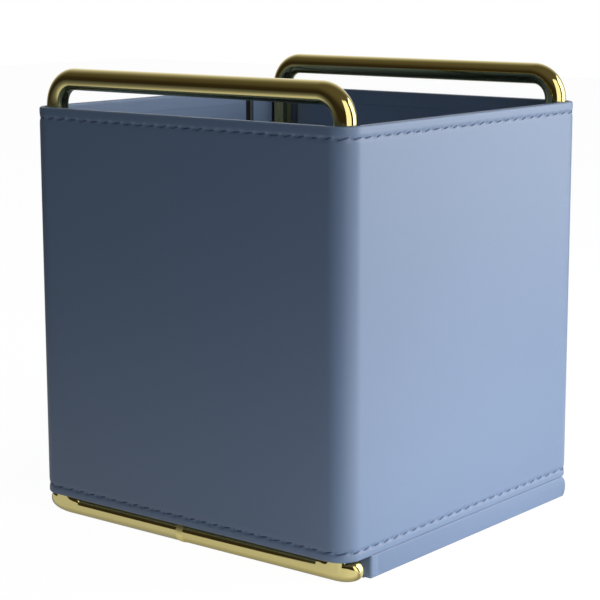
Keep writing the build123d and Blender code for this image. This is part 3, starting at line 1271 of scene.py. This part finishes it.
def pale_floor(settings):
    """Pale floor: white to the camera where it is unshaded, with painted shade under the cup; to the plating,
    painted light that is bright near the cup.
    """
    rest()
    bpy.ops.mesh.primitive_plane_add(size=settings.floor_side, location=(0, 0, 0))
    floor = fresh("floor")
    material, tree, shader = new_finish("pale_floor", Base_Color=(*settings.floor_tone, 1), Roughness=0.9,
                                        Specular_IOR_Level=0.0)
    seen, glossy = ray_kinds(tree)
    # Painted shade: the floor's glow and its share of real light are left off under the cup.
    to_camera = glow_and_shade(tree, settings.floor_white, CAMERA_SHADE, outside_cup(tree))
    # Painted light: a glow that only the plating's reflections see.
    to_plating = glow_and_shade(tree, TABLE_GLOW, TABLE_SHADE, table_tone(tree))
    lit = mixed(tree, glossy, shader.outputs[0], to_plating)
    fill(tree, tree.nodes["Material Output"], Surface=mixed(tree, seen, lit, to_camera))
    floor.data.materials.append(material)


def glow_and_shade(tree, glow, share, tone):
    """A glow plus a share of the real light, both scaled by a tone."""
    white = add(tree, "Emission", Color=tone, Strength=glow)
    matt = add(tree, "BsdfDiffuse", Color=maths(tree, "MULTIPLY", tone, share))
    return add(tree, "AddShader", white.outputs[0], matt.outputs[0]).outputs[0]


def set_camera():
    """Camera a little above the cup, facing the corner between the front and the right wall."""
    turn, lift, roll = (math.radians(a) for a in CAMERA_ANGLES)
    back = Vector((math.sin(turn) * math.cos(lift), -math.cos(turn) * math.cos(lift), math.sin(lift)))
    level_right = Vector((math.cos(turn), math.sin(turn), 0))
    level_up = back.cross(level_right)
    data = bpy.data.cameras.new("camera")
    data.sensor_width = SENSOR
    data.lens = SENSOR * CAMERA_ZOOM
    data.clip_start = 0.01
    camera = linked("camera", data)
    camera.matrix_world = facing(level_right * math.cos(roll) + level_up * math.sin(roll),
                                 level_up * math.cos(roll) - level_right * math.sin(roll),
                                 CAMERA_TARGET + back * CAMERA_REACH)
    bpy.context.scene.camera = camera


class PENCUP_OT_stage(bpy.types.Operator):
    """Set the pale floor, the soft lights, the world and the camera"""
    bl_idname = "pencup.stage"
    bl_label = "Stage"

    def execute(self, context):
        settings = context.scene.pencup_stage
        pale_floor(settings)
        studio_world(settings)
        soft_light("key_softbox", *KEY_PLACE, settings.key, settings.key_tone)
        soft_light("side_softbox", *SIDE_PLACE, settings.side)
        low = soft_light("foot_softbox", *FOOT_PLACE, settings.foot, settings.key_tone)
        low.visible_camera = low.visible_glossy = False
        set_camera()
        context.scene.view_settings.view_transform = "Standard"
        return {"FINISHED"}


# ---- Panel ----
class PENCUP_PT_panel(bpy.types.Panel):
    """Settings and pieces of the pen holder cup"""
    bl_idname = "PENCUP_PT_panel"
    bl_label = "Pen Holder Cup"
    bl_space_type = "VIEW_3D"
    bl_region_type = "UI"
    bl_category = "Pen Cup"

    def draw(self, context):
        for group in GROUPS:
            settings = getattr(context.scene, group)
            box = self.layout.box()
            for name in settings.__annotations__:
                box.prop(settings, name)
        for operator in OPERATORS:
            self.layout.operator(operator.bl_idname)


OPERATORS = (PENCUP_OT_rod_frames, PENCUP_OT_outer_leather, PENCUP_OT_inner_leather,
             PENCUP_OT_stitching, PENCUP_OT_base, PENCUP_OT_inner_parts, PENCUP_OT_stage)
GROUPS = {
    "pencup_rod": PENCUP_PG_rod, "pencup_sleeve": PENCUP_PG_sleeve, "pencup_stitch": PENCUP_PG_stitch,
    "pencup_base": PENCUP_PG_base, "pencup_stage": PENCUP_PG_stage,
}


def register():
    for kind in (*GROUPS.values(), *OPERATORS, PENCUP_PT_panel):
        bpy.utils.register_class(kind)
    for name, kind in GROUPS.items():
        setattr(bpy.types.Scene, name, bpy.props.PointerProperty(type=kind))


def unregister():
    for name in GROUPS:
        delattr(bpy.types.Scene, name)
    for kind in reversed((*GROUPS.values(), *OPERATORS, PENCUP_PT_panel)):
        bpy.utils.unregister_class(kind)


def main():
    register()
    for step in ("stage", "rod_frames", "outer_leather", "inner_leather", "stitching", "base", "inner_parts"):
        getattr(bpy.ops.pencup, step)()
    rest()


if __name__ == "__main__":
    main()
